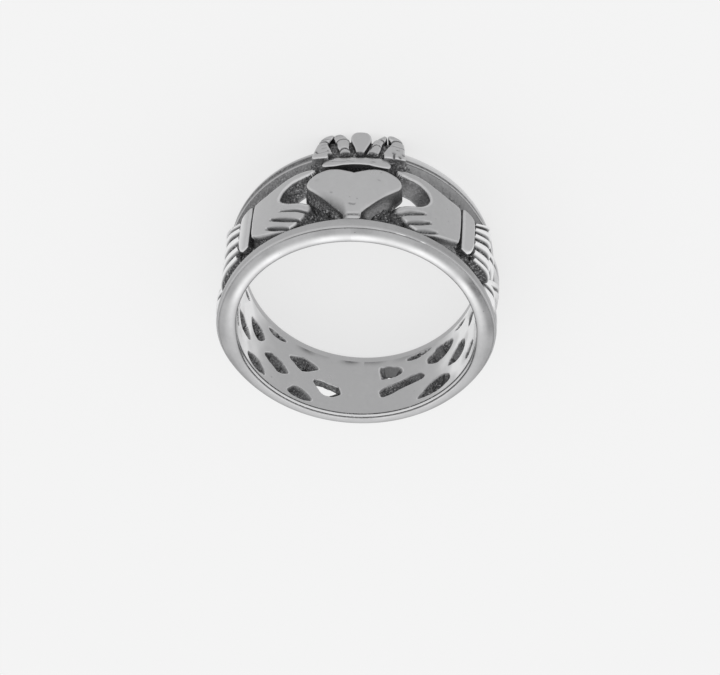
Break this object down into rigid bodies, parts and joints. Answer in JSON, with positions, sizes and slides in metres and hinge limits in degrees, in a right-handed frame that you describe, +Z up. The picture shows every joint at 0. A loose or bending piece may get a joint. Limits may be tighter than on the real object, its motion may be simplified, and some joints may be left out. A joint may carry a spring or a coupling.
{
  "type": "claddagh ring",
  "caption": "Cast silver claddagh ring: a crowned heart held by hands with cuffs, on a woven, pierced band between plain rims.",
  "frame": {"origin": "bottom centre of the bounding box, on the ground; the ring lies on its crown side's face", "axes": "+Z up, out of the near face; +Y towards the heart; +X to the right of the heart seen from the near face with the heart on top"},
  "size_m": [0.0235, 0.0242, 0.011],
  "materials": {
    "silver": "cast silver, polished on the high parts and dark in the sunk ground"
  },
  "bodies": {
    "root": {"ring": "silver"}
  },
  "joints": []
}
